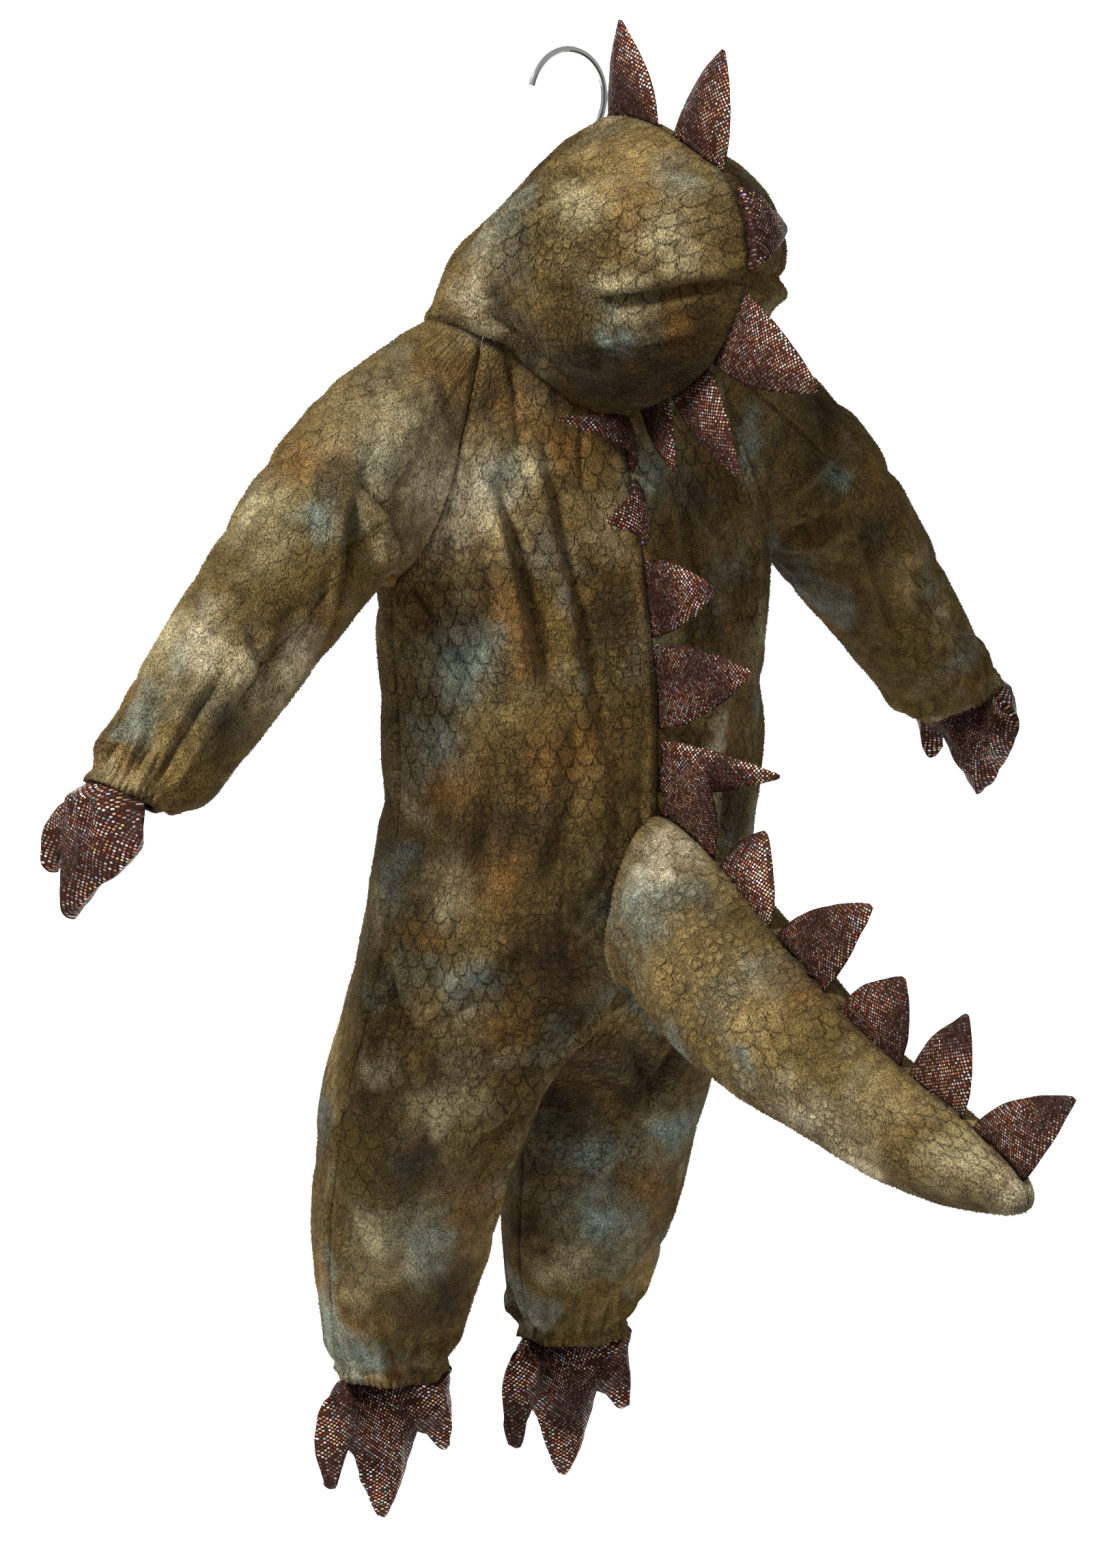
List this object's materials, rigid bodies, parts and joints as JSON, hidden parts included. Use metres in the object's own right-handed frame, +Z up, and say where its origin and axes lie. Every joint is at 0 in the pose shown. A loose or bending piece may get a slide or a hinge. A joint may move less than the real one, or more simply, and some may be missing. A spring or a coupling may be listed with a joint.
{
  "type": "dinosaur costume on hanger",
  "caption": "Toddler's hooded plush dinosaur costume with a stuffed tail, dotted spikes down the back and claw pads at the cuffs, hung on a hook hanger.",
  "frame": {"origin": "the inside top of the hanger's hook, where the rail holds it", "axes": "+Z up; the costume's front faces -Y, its tail points to +Y and the wearer's left is +X"},
  "size_m": [0.7252, 0.5757, 0.9416],
  "materials": {
    "plush": "short-pile plush, tie-dyed brown, tan and grey-blue, embossed with scales",
    "dotted_knit": "dark knit with small holographic foil dots",
    "hook_wire": "polished",
    "bar": "matte"
  },
  "bodies": {
    "root": {"back_left": "plush", "back_right": "plush", "front_left": "plush", "front_right": "plush", "sleeve_left": "plush", "sleeve_right": "plush", "hood_left": "plush", "hood_right": "plush", "tail_left": "plush", "tail_right": "plush", "hood_spike_1": "dotted_knit", "hood_spike_2": "dotted_knit", "hood_spike_3": "dotted_knit", "hood_spike_4": "dotted_knit", "neck_spike_1": "dotted_knit", "neck_spike_2": "dotted_knit", "neck_spike_3": "dotted_knit", "back_spike_1": "dotted_knit", "back_spike_2": "dotted_knit", "back_spike_3": "dotted_knit", "back_spike_4": "dotted_knit", "tail_spike_1": "dotted_knit", "tail_spike_2": "dotted_knit", "tail_spike_3": "dotted_knit", "tail_spike_4": "dotted_knit", "tail_spike_5": "dotted_knit", "tail_spike_6": "dotted_knit", "hand_claw_left": "dotted_knit", "hand_claw_right": "dotted_knit", "foot_claw_left": "dotted_knit", "foot_claw_right": "dotted_knit", "hanger_hook": "hook_wire", "hanger_bar": "bar"}
  },
  "joints": []
}
